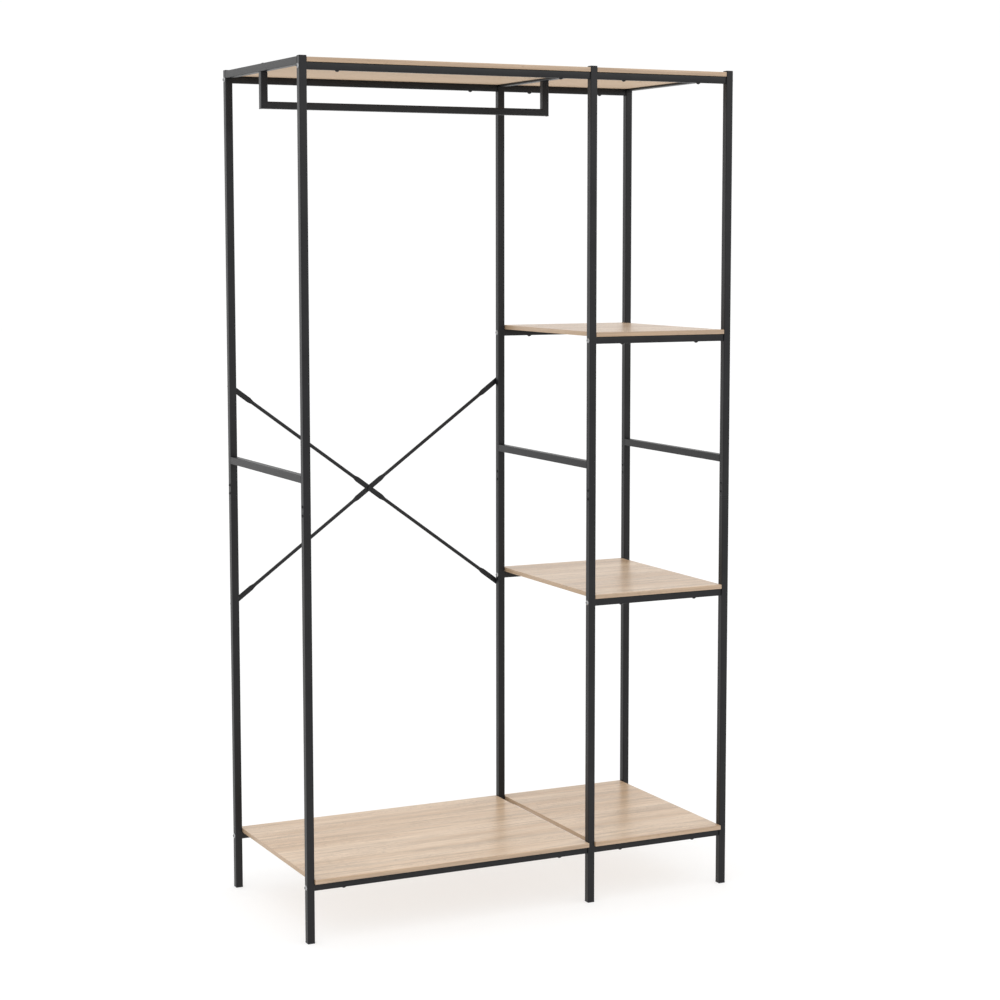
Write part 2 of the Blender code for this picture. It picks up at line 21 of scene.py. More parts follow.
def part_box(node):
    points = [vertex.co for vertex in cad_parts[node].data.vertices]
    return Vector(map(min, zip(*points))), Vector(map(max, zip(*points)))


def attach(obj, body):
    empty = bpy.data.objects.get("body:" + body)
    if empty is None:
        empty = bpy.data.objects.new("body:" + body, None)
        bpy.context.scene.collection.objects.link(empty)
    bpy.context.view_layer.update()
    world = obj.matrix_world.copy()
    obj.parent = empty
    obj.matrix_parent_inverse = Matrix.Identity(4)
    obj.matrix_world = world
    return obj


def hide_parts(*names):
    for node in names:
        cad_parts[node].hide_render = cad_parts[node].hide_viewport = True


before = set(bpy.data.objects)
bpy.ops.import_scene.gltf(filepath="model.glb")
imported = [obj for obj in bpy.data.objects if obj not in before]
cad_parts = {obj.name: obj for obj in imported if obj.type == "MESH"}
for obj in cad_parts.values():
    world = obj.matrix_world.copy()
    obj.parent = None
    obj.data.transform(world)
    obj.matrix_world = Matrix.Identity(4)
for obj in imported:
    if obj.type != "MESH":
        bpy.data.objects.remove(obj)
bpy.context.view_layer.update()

BODY = "root"
FRAMES = ("left", "centre", "right")
SIDES = ("front", "rear")
UP = Vector((0.0, 0.0, 1.0))
LEFTWARD = Vector((-1.0, 0.0, 0.0))
RIGHTWARD = Vector((1.0, 0.0, 0.0))
REARWARD = Vector((0.0, 1.0, 0.0))

# Gap between pieces that touch on the real wardrobe, in metres
GAP = 0.0003

# Least dot product of two directions that count as one, loosely and strictly
ALIKE = 0.9
SAME = 0.99

# Edges of small fasteners that are sharper than this get a bevel
SHARP = math.radians(35.0)

# Ranges of a noise over which a tone and a gloss go from one end to the other
TONE_RANGE = (0.35, 0.65)
GLOSS_RANGE = (0.3, 0.7)

log = logging.getLogger("wardrobe")
Triple = tuple[float, float, float]
Colour = Triple
Test = Callable[[Vector, Vector], bool]


class Slot(Enum):
    """Material slots of the record."""

    STEEL = "black_steel"
    OAK = "oak"
    ZINC = "zinc"


class Drive(Enum):
    """Recess that a fastener's head is driven by."""

    HEX = "hexagon"
    CROSS = "cross"


class Kind(Enum):
    """Kinds of fastener."""

    RAIL_BOLT = "rail bolt"
    BRACE_BOLT = "brace bolt"
    HANGING_BOLT = "hanging bolt"
    SHELF_SCREW = "shelf screw"
    SLEEVE_SCREW = "sleeve screw"
    BRACE_NUT = "brace nut"


@dataclass(frozen=True)
class Bay:
    """Space between two side frames, and the boards that it holds."""

    name: str
    first: str
    last: str
    levels: tuple[str, ...]

    def reach(self, side: str, gap: float) -> tuple[float, float]:
        """X limits between the inner faces of two posts, less a gap at each.

        Args:
            side: Front or rear posts.
            gap: Gap to leave at each post.

        Returns:
            Lowest and highest X.
        """
        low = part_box(f"{self.first}_{side}_leg")[1].x
        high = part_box(f"{self.last}_{side}_leg")[0].x
        return low + gap, high - gap


BAYS = (
    Bay("left", "left", "centre", ("top", "bottom")),
    Bay("right", "centre", "right", ("top", "upper", "lower", "bottom")),
)


@dataclass(frozen=True)
class Grain:
    """Noise pattern: its features a metre along x, y and z, and how broken and wavy they are."""

    scale: Triple
    detail: float = 2.0
    rough: float = 0.5
    warp: float = 0.0


def even_grain(scale: float, detail: float = 2.0, rough: float = 0.5) -> Grain:
    """Noise pattern with as many features a metre along every axis."""
    return Grain((scale, scale, scale), detail, rough)


class Graph:
    """Shader graph of one material, added to node by node."""

    def __init__(self, name: str) -> None:
        """Start a material with its shader and its object coordinates.

        Args:
            name: Name of the material.
        """
        self.material = bpy.data.materials.new(name)
        self.material.use_nodes = True
        self.nodes = self.material.node_tree.nodes
        self.links = self.material.node_tree.links
        self.shader = self.nodes["Principled BSDF"]
        self.place = self.nodes.new("ShaderNodeTexCoord").outputs["Object"]
        self.made: dict[Grain, NodeSocket] = {}

    def feed(self, socket: NodeSocket, value: NodeSocket | float | Colour) -> None:
        """Link a value to a socket, or set the socket to it.

        Args:
            socket: Input to feed.
            value: Output of another node, a number or a colour.
        """
        if isinstance(value, NodeSocket):
            self.links.new(value, socket)
        elif isinstance(value, tuple):
            socket.default_value = (*value, 1.0)
        else:
            socket.default_value = value

    def set(self, **values: NodeSocket | float | Colour) -> None:
        """Feed inputs of the shader, named with underscores for spaces."""
        for name, value in values.items():
            self.feed(self.shader.inputs[name.replace("_", " ")], value)

    def move(self, shift: Vector) -> None:
        """Move every pattern that is made after this.

        Args:
            shift: Way to move them, in metres.
        """
        node = self.nodes.new("ShaderNodeVectorMath")
        node.inputs[1].default_value = shift
        self.links.new(self.place, node.inputs[0])
        self.place = node.outputs["Vector"]

    def noise(self, grain: Grain) -> NodeSocket:
        """Soft noise, made once for each pattern.

        Args:
            grain: Pattern of the noise.

        Returns:
            Its value, which is about a half on average.
        """
        if grain not in self.made:
            mapping = self.nodes.new("ShaderNodeMapping")
            mapping.inputs["Scale"].default_value = grain.scale
            self.links.new(self.place, mapping.inputs["Vector"])
            node = self.nodes.new("ShaderNodeTexNoise")
            node.inputs["Scale"].default_value = 1.0
            node.inputs["Detail"].default_value = grain.detail
            node.inputs["Roughness"].default_value = grain.rough
            node.inputs["Distortion"].default_value = grain.warp
            self.links.new(mapping.outputs["Vector"], node.inputs["Vector"])
            self.made[grain] = node.outputs["Fac"]
        return self.made[grain]

    def span(
        self, value: NodeSocket, low: float, high: float, to_low: float = 0.0, to_high: float = 1.0
    ) -> NodeSocket:
        """Map a value from one range to another, held at the ends.

        Args:
            value: Value to map.
            low: Low end of its range.
            high: High end of its range.
            to_low: Result at the low end.
            to_high: Result at the high end.

        Returns:
            The mapped value.
        """
        node = self.nodes.new("ShaderNodeMapRange")
        self.links.new(value, node.inputs["Value"])
        for name, number in (("From Min", low), ("From Max", high), ("To Min", to_low), ("To Max", to_high)):
            node.inputs[name].default_value = number
        return node.outputs["Result"]

    def reckon(self, operation: str, first: NodeSocket, second: NodeSocket | float = 0.0) -> NodeSocket:
        """Combine two values.

        Args:
            operation: Name of the math operation.
            first: First value.
            second: Second value, which some operations leave out.

        Returns:
            The result.
        """
        node = self.nodes.new("ShaderNodeMath")
        node.operation = operation
        self.feed(node.inputs[0], first)
        self.feed(node.inputs[1], second)
        return node.outputs["Value"]

    def mix(self, share: NodeSocket, under: NodeSocket | Colour, over: NodeSocket | Colour) -> NodeSocket:
        """Blend two colours.

        Args:
            share: Share of the second colour.
            under: First colour.
            over: Second colour.

        Returns:
            The blend.
        """
        node = self.nodes.new("ShaderNodeMix")
        node.data_type = "RGBA"
        self.links.new(share, node.inputs["Factor"])
        colours = [socket for socket in node.inputs if socket.type == "RGBA"]
        for socket, value in zip(colours, (under, over)):
            self.feed(socket, value)
        return next(socket for socket in node.outputs if socket.type == "RGBA")

    def facing(self) -> tuple[NodeSocket, NodeSocket, NodeSocket]:
        """Share by which the surface faces along x, y and z, signed.

        Returns:
            The three shares.
        """
        normal = self.nodes.new("ShaderNodeNewGeometry").outputs["Normal"]
        split = self.nodes.new("ShaderNodeSeparateXYZ")
        self.links.new(normal, split.inputs["Vector"])
        return tuple(split.outputs)

    def bump(self, height: NodeSocket, strength: float, depth: float) -> None:
        """Raise the surface by a height pattern.

        Args:
            height: Pattern from 0 to 1.
            strength: Share of the bump that is felt.
            depth: Height of the pattern, in metres.
        """
        node = self.nodes.new("ShaderNodeBump")
        node.inputs["Strength"].default_value = strength
        node.inputs["Distance"].default_value = depth
        self.links.new(height, node.inputs["Height"])
        self.set(Normal=node.outputs["Normal"])


@dataclass(frozen=True)
class PowderCoat:
    """Satin black powder coat with a fine orange peel and a slight drift in tone."""

    name: str = "black powder coat"
    dark: Colour = (0.006, 0.006, 0.007)
    light: Colour = (0.013, 0.013, 0.014)
    drift: Grain = even_grain(9.0, detail=4.0, rough=0.6)
    speckle: Grain = even_grain(380.0, detail=3.0, rough=0.7)
    drift_share: float = 0.6
    sheen: float = 0.27
    gloss: tuple[float, float] = (0.32, 0.45)
    peel: Grain = even_grain(900.0)
    peel_strength: float = 0.35
    peel_depth: float = 0.00006

    def build(self) -> Material:
        """Make the material.

        Returns:
            The material.
        """
        graph = Graph(self.name)
        speckle = graph.noise(self.speckle)
        broad = graph.reckon("MULTIPLY", graph.noise(self.drift), self.drift_share)
        small = graph.reckon("MULTIPLY", speckle, 1.0 - self.drift_share)
        tone = graph.reckon("ADD", broad, small)
        graph.set(
            Base_Color=graph.mix(graph.span(tone, *TONE_RANGE), self.dark, self.light),
            Specular_IOR_Level=self.sheen,
            Roughness=graph.span(speckle, *GLOSS_RANGE, *self.gloss),
        )
        graph.bump(graph.noise(self.peel), self.peel_strength, self.peel_depth)
        return graph.material


@dataclass(frozen=True)
class Layer:
    """One tone of the decor, and how a range of its pattern turns into the share that it covers."""

    grain: Grain
    low: float
    high: float
    to_low: float
    to_high: float
    tone: Colour


@dataclass(frozen=True)
class OakDecor:
    """Satin light oak face with soft streaks along x, greige drifts and short pores, and painted shade on
    its edges, ends and underside.
    """

    name: str = "light oak decor"
    shift: Vector = Vector((0.0, 0.0, 0.0))

    # Colours of the face, and the darker colours of its edges, its ends and its underside, which are painted
    # shade
    pale: Colour = (0.740, 0.565, 0.400)
    warm: Colour = (0.600, 0.412, 0.254)
    streak: Colour = (0.370, 0.248, 0.152)
    greige: Colour = (0.425, 0.326, 0.236)
    pore: Colour = (0.250, 0.165, 0.100)
    # Painted shade: darker copies of the decor's colour for the edges, the ends and the underside
    edge: Colour = (0.366, 0.262, 0.182)
    end: Colour = (0.460, 0.325, 0.210)
    under: Colour = (0.588, 0.442, 0.309)

    # Patterns, each longest along x
    bands: Grain = Grain((1.3, 15.0, 60.0), detail=3.0, rough=0.55, warp=0.3)
    drifts: Grain = Grain((2.2, 38.0, 120.0), detail=3.0, rough=0.6, warp=0.8)
    streaks: Grain = Grain((3.4, 105.0, 260.0), detail=4.0, rough=0.65, warp=0.6)
    lines: Grain = Grain((1.2, 190.0, 400.0), warp=0.5)
    fine: Grain = Grain((22.0, 560.0, 900.0), rough=0.6)
    dashes: Grain = Grain((75.0, 1300.0, 1300.0), detail=1.0)
    clusters: Grain = Grain((5.0, 34.0, 80.0), detail=1.0)

    # Shares of what lies over the printed tones: the pores, and the painted shade of edges, ends and
    # underside
    pore_cover: float = 0.7
    edge_shade_cover: float = 0.85
    end_shade_cover: float = 0.8
    under_shade_cover: float = 0.9

    # How far a face turns to y, to x and downwards while it takes the painted shade of edge, end and
    # underside. The edge's range leaves the rounded top edges pale, a painted highlight
    edge_shade_turn: tuple[float, float] = (0.75, 0.97)
    end_shade_turn: tuple[float, float] = (0.5, 0.9)
    under_shade_turn: tuple[float, float] = (-0.9, -0.5)

    # How the streaks break up the painted shade of an edge: their range, and the shares that it becomes
    edge_shade_streaks: tuple[float, float, float, float] = (0.36, 0.62, 0.5, 1.0)

    # Roughness and relief
    gloss: tuple[float, float] = (0.27, 0.36)
    under_dullness: float = 0.5
    fine_relief: float = 0.4
    relief_strength: float = 0.25
    relief_depth: float = 0.00008

    def tones(self) -> tuple[Layer, ...]:
        """Printed tones over the pale one.

        Returns:
            The layers, from the first to the last.
        """
        return (
            Layer(self.bands, 0.38, 0.62, 0.0, 1.0, self.warm),
            Layer(self.drifts, 0.50, 0.70, 0.0, 0.55, self.greige),
            Layer(self.streaks, 0.52, 0.70, 0.0, 0.70, self.streak),
            Layer(self.lines, 0.60, 0.68, 0.0, 0.60, self.streak),
            Layer(self.fine, 0.48, 0.76, 0.0, 0.50, self.streak),
            Layer(self.fine, 0.24, 0.46, 0.45, 0.0, self.pale),
        )

    def pores(self, graph: Graph) -> NodeSocket:
        """Short dashes that gather in clusters.

        Args:
            graph: Graph of the material.

        Returns:
            Share of the surface that is a pore.
        """
        dashes = graph.span(graph.noise(self.dashes), 0.58, 0.66)
        clusters = graph.span(graph.noise(self.clusters), 0.42, 0.60, 0.1, 1.0)
        return graph.reckon("MULTIPLY", dashes, clusters)

    def build(self) -> Material:
        """Make the material.

        Returns:
            The material.
        """
        graph = Graph(self.name)
        graph.move(self.shift)
        colour = self.pale
        for layer in self.tones():
            pattern = graph.noise(layer.grain)
            share = graph.span(pattern, layer.low, layer.high, layer.to_low, layer.to_high)
            colour = graph.mix(share, colour, layer.tone)
        pores = self.pores(graph)
        colour = graph.mix(graph.reckon("MULTIPLY", pores, self.pore_cover), colour, self.pore)

        across, along, upward = graph.facing()
        # Painted shade: faces along y take the darker edge colour, broken by the streaks. The rounded top
        # edges stay pale as a painted highlight
        side = graph.span(graph.reckon("ABSOLUTE", along), *self.edge_shade_turn, 0.0, self.edge_shade_cover)
        streaked = graph.span(graph.noise(self.streaks), *self.edge_shade_streaks)
        colour = graph.mix(graph.reckon("MULTIPLY", side, streaked), colour, self.edge)
        # Painted shade: faces along x take the darker end colour
        ends = graph.span(graph.reckon("ABSOLUTE", across), *self.end_shade_turn, 0.0, self.end_shade_cover)
        colour = graph.mix(ends, colour, self.end)
        # Painted shade: downward faces take the darker underside colour. The same share also dulls their
        # gloss
        below = graph.span(upward, *self.under_shade_turn, self.under_shade_cover, 0.0)
        colour = graph.mix(below, colour, self.under)

        fine = graph.noise(self.fine)
        dullness = graph.reckon("MULTIPLY", below, self.under_dullness)
        roughness = graph.reckon("ADD", graph.span(fine, *GLOSS_RANGE, *self.gloss), dullness)
        graph.set(Base_Color=colour, Roughness=roughness)
        relief = graph.reckon("SUBTRACT", graph.reckon("MULTIPLY", fine, self.fine_relief), pores)
        graph.bump(relief, self.relief_strength, self.relief_depth)
        return graph.material


@dataclass(frozen=True)
class BrightZinc:
    """Zinc-plated steel, satin, with faint turning marks and a slight blue-grey drift."""

    name: str = "bright zinc"
    light: Colour = (0.46, 0.465, 0.47)
    dull: Colour = (0.27, 0.275, 0.28)
    drift: Grain = even_grain(420.0, detail=3.0, rough=0.6)
    gloss: tuple[float, float] = (0.22, 0.36)
    marks: Grain = even_grain(2600.0, detail=1.0)
    mark_strength: float = 0.15
    mark_depth: float = 0.00003

    def build(self) -> Material:
        """Make the material.

        Returns:
            The material.
        """
        graph = Graph(self.name)
        drift = graph.noise(self.drift)
        graph.set(
            Base_Color=graph.mix(graph.span(drift, *TONE_RANGE), self.light, self.dull),
            Metallic=1.0,
            Roughness=graph.span(drift, *GLOSS_RANGE, *self.gloss),
        )
        graph.bump(graph.noise(self.marks), self.mark_strength, self.mark_depth)
        return graph.material


@dataclass(frozen=True)
class MouldedPlastic:
    """Black polypropylene with a fine spark-eroded grain."""

    name: str = "moulded black plastic"
    dark: Colour = (0.009, 0.009, 0.010)
    light: Colour = (0.017, 0.017, 0.018)
    grain: Grain = even_grain(1600.0, rough=0.6)
    gloss: tuple[float, float] = (0.48, 0.62)
    grain_strength: float = 0.3
    grain_depth: float = 0.00004

    def build(self) -> Material:
        """Make the material.

        Returns:
            The material.
        """
        graph = Graph(self.name)
        grain = graph.noise(self.grain)
        graph.set(
            Base_Color=graph.mix(graph.span(grain, *TONE_RANGE), self.dark, self.light),
            Roughness=graph.span(grain, *GLOSS_RANGE, *self.gloss),
        )
        graph.bump(grain, self.grain_strength, self.grain_depth)
        return graph.material


class Finishes:
    """Finishes that several pieces share, made once."""

    def __init__(self) -> None:
        """Make the materials."""
        self.steel = PowderCoat().build()
        self.screw = PowderCoat(name="blackened screw", gloss=(0.24, 0.34), peel=even_grain(2200.0)).build()
        self.zinc = BrightZinc().build()
        self.plastic = MouldedPlastic().build()


def parallel(axis: Vector) -> Test:
    """Test for edges that run, or faces that look, along an axis either way."""
    return lambda place, way: abs(way.dot(axis)) > ALIKE


def towards(direction: Vector, least: float = ALIKE) -> Test:
    """Test for faces that look one way, with the least dot product that passes."""
    return lambda place, way: way.dot(direction) > least


def alone(obj: Object) -> None:
    """Make one object the only selected and the active one.

    Args:
        obj: The object.
    """
    bpy.ops.object.select_all(action="DESELECT")
    obj.select_set(True)
    bpy.context.view_layer.objects.active = obj


@contextmanager
def editing(obj: Object) -> Iterator[None]:
    """Edit mode on one object, with faces to select.

    Args:
        obj: Object to edit.
    """
    alone(obj)
    bpy.ops.object.mode_set(mode="EDIT")
    bpy.ops.mesh.select_mode(type="FACE")
    yield
    bpy.ops.object.mode_set(mode="OBJECT")


def pick_faces(obj: Object, test: Test) -> None:
    """Select the faces that pass a test, in edit mode.

    Args:
        obj: Object in edit mode.
        test: Takes each face's centre and normal.
    """
    bpy.ops.mesh.select_mode(type="FACE")
    bpy.ops.mesh.select_all(action="DESELECT")
    bm = bmesh.from_edit_mesh(obj.data)
    for face in bm.faces:
        if test(face.calc_center_median(), face.normal):
            face.select_set(True)
    bmesh.update_edit_mesh(obj.data)


def pick_edges(obj: Object, test: Test) -> None:
    """Select the edges that pass a test, in edit mode.

    Args:
        obj: Object in edit mode.
        test: Takes each edge's middle and direction.
    """
    bpy.ops.mesh.select_mode(type="EDGE")
    bpy.ops.mesh.select_all(action="DESELECT")
    bm = bmesh.from_edit_mesh(obj.data)
    for edge in bm.edges:
        first, second = (vertex.co for vertex in edge.verts)
        if test((first + second) / 2, (second - first).normalized()):
            edge.select_set(True)
    bmesh.update_edit_mesh(obj.data)


def new_primitive(name: str) -> Object:
    """Name the primitive that was just added, and move its place and scale into its mesh.

    Args:
        name: Name of the object and its mesh.

    Returns:
        The object.
    """
    obj = bpy.context.active_object
    obj.name = name
    obj.data.name = name
    alone(obj)
    bpy.ops.object.transform_apply(location=True, rotation=True, scale=True)
    return obj


def apply_modifier(obj: Object, kind: str, **settings: object) -> None:
    """Add a modifier and apply it.

    Args:
        obj: Object to change.
        kind: Type of the modifier.
        **settings: Its settings.
    """
    alone(obj)
    modifier = obj.modifiers.new(kind.lower(), kind)
    for name, value in settings.items():
        setattr(modifier, name, value)
    bpy.ops.object.modifier_apply(modifier=modifier.name)


def smooth(obj: Object, angle: float = 38.0) -> None:
    """Shade an object smooth, with its sharper edges kept.

    Args:
        obj: Object to shade.
        angle: Sharpest angle that is smoothed, in degrees.
    """
    alone(obj)
    bpy.ops.object.shade_smooth_by_angle(angle=math.radians(angle))


def add_block(name: str, low: Vector, high: Vector) -> Object:
    """Block between two corners.

    Args:
        name: Name of the block.
        low: Lowest corner.
        high: Highest corner.

    Returns:
        The block.
    """
    bpy.ops.object.select_all(action="DESELECT")
    bpy.ops.mesh.primitive_cube_add(size=1.0, location=(low + high) / 2, scale=high - low)
    return new_primitive(name)


def open_ends(block: Object, axis: Vector, corner: float, segments: int) -> None:
    """Take the ends off a block and round its long edges, in edit mode.

    Args:
        block: Block in edit mode.
        axis: Direction of its length.
        corner: Radius of its long edges.
        segments: Facets of each long edge.
    """
    pick_faces(block, parallel(axis))
    bpy.ops.mesh.delete(type="ONLY_FACE")
    pick_edges(block, parallel(axis))
    bpy.ops.mesh.bevel(offset=corner, segments=segments, affect="EDGES")


def add_tube(name: str, low: Vector, high: Vector, axis: Vector, wall: float, corner: float) -> Object:
    """Rectangular tube between two corners, with open ends and rounded long edges.

    Args:
        name: Name of the piece.
        low: Lowest corner.
        high: Highest corner.
        axis: Direction of the tube's length.
        wall: Thickness of the wall.
        corner: Radius of the long outer edges.

    Returns:
        The tube.
    """
    tube = add_block(name, low, high)
    with editing(tube):
        open_ends(tube, axis, corner, segments=4)
    apply_modifier(tube, "SOLIDIFY", thickness=wall, offset=-1.0, use_even_offset=True)
    smooth(tube)
    return tube


def cut_out(obj: Object, tool: Object) -> None:
    """Cut a closed tool out of an object and remove the tool.

    Args:
        obj: Object to cut.
        tool: Shape of the cut.
    """
    apply_modifier(obj, "BOOLEAN", operation="DIFFERENCE", solver="EXACT", object=tool)
    bpy.data.objects.remove(tool)


def copied(template: Object, name: str, place: Vector, direction: Vector) -> Object:
    """Copy of a piece with a mesh of its own.

    Args:
        template: Piece to copy, modelled at the origin and pointing up.
        name: Name of the copy.
        place: Where the template's origin goes.
        direction: Way that the copy points.

    Returns:
        The copy.
    """
    piece = template.copy()
    piece.data = template.data.copy()
    piece.name = name
    piece.data.name = name
    turn = UP.rotation_difference(direction).to_matrix().to_4x4()
    piece.data.transform(Matrix.Translation(place) @ turn)
    bpy.context.scene.collection.objects.link(piece)
    return piece


def finish_piece(obj: Object, slot: Slot, *materials: Material) -> None:
    """Give a new piece its materials, and let it ride on the wardrobe's body.

    Args:
        obj: The piece.
        slot: Slot that its finish stands for. It is not used.
        *materials: Its materials, one for each of the mesh's own slots.
    """
    obj.data.materials.clear()
    for material in materials:
        obj.data.materials.append(material)
    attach(obj, BODY)


def dress_node(node: str, material: Material, angle: float = 30.0) -> None:
    """Give a CAD node that stays in view its finish and smooth shading.

    Args:
        node: Name of the node.
        material: Its finish.
        angle: Sharpest angle that is smoothed, in degrees.
    """
    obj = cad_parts[node]
    obj.material_slots[0].material = material
    smooth(obj, angle)


@dataclass(frozen=True)
class Lamp:
    """Square soft light: where it hangs, the length of its sides and its watts."""

    name: str
    place: Triple
    size: float
    power: float
    sheen_only: bool = False


@dataclass
class Studio:
    """Floor, soft lights and the camera at the photograph's place."""

    floor_size: float = 60.0
    floor_grain: Grain = even_grain(0.8)
    floor_tones: tuple[Colour, Colour] = ((0.37, 0.37, 0.37), (0.40, 0.40, 0.40))
    floor_roughness: float = 0.9
    floor_sheen: float = 0.1
    floor_glow: float = 0.64
    surroundings: float = 1.02
    white: Colour = (1.0, 1.0, 1.0)
    lamps: tuple[Lamp, ...] = (
        Lamp("soft light from above", (-1.0, -1.5, 5.0), 5.0, 45.0),
        Lamp("sheen panel at the front", (2.8, -5.2, 3.7), 3.0, 45.0, sheen_only=True),
        Lamp("sheen panel at the rear", (-3.6, 4.8, 2.2), 3.0, 16.0, sheen_only=True),
    )
    lamp_target: Vector = Vector((0.0, 0.0, 0.9))

    # Camera: metres, radians, millimetres, and a share of the picture's width
    camera_place: Vector = Vector((-2.07815, -4.374965, 1.44243))
    heading: float = 0.45293
    pitch: float = -0.10464
    roll: float = 0.00071
    lens: float = 79.768
    sensor: float = 36.0
    rise: float = -0.030
    sight: float = 200.0

    def build(self) -> None:
        """Set up the studio."""
        self.add_floor()
        self.add_surroundings()
        for lamp in self.lamps:
            self.add_lamp(lamp)
        self.add_camera()

    def add_floor(self) -> None:
        """Pale plain floor that runs to the horizon."""
        bpy.ops.object.select_all(action="DESELECT")
        bpy.ops.mesh.primitive_plane_add(size=self.floor_size, location=(0.0, 0.0, 0.0))
        floor = bpy.context.active_object
        floor.name = "studio floor"
        graph = Graph("pale studio floor")
        graph.set(
            Base_Color=graph.mix(graph.noise(self.floor_grain), *self.floor_tones),
            Roughness=self.floor_roughness,
            Specular_IOR_Level=self.floor_sheen,
            Emission_Color=self.white,
            Emission_Strength=self.floor_glow,
        )
        floor.data.materials.append(graph.material)

    def add_surroundings(self) -> None:
        """Even white light from all round."""
        world = bpy.data.worlds.new("white studio")
        world.use_nodes = True
        backdrop = world.node_tree.nodes["Background"]
        backdrop.inputs["Color"].default_value = (*self.white, 1.0)
        backdrop.inputs["Strength"].default_value = self.surroundings
        bpy.context.scene.world = world

    def add_lamp(self, lamp: Lamp) -> None:
        """Hang a lamp and aim it at the middle of the wardrobe.

        Args:
            lamp: The lamp. One for sheen alone shows in glossy surfaces and casts no light on matt ones.
        """
        bpy.ops.object.select_all(action="DESELECT")
        bpy.ops.object.light_add(type="AREA", location=lamp.place)
        light = bpy.context.active_object
        light.name = lamp.name
        light.data.size = lamp.size
        light.data.energy = lamp.power
        light.visible_diffuse = not lamp.sheen_only
        aim = self.lamp_target - Vector(lamp.place)
        light.rotation_euler = aim.to_track_quat("-Z", "Y").to_euler()

    def add_camera(self) -> None:
        """Camera at the place, heading and lens that the photograph's edges give."""
        bpy.ops.object.select_all(action="DESELECT")
        bpy.ops.object.camera_add(location=self.camera_place)
        camera = bpy.context.active_object
        camera.name = "photograph's camera"
        camera.rotation_euler = (math.pi / 2 + self.pitch, self.roll, -self.heading)
        camera.data.lens = self.lens
        camera.data.sensor_width = self.sensor
        camera.data.shift_y = self.rise
        camera.data.clip_end = self.sight
        bpy.context.scene.camera = camera


@dataclass(frozen=True)
class HeadSize:
    """Sizes of a fastener's head, in metres, and its drive."""

    radius: float
    height: float
    recess: float
    recess_depth: float
    drive: Drive


@dataclass(frozen=True)
class NutSize:
    """Sizes of a six-sided nut, in metres. Its radius is over the corners."""

    radius: float = 0.0048
    height: float = 0.0040
    bore: float = 0.0025
    chamfer: float = 0.0003
    countersink: float = 0.0006


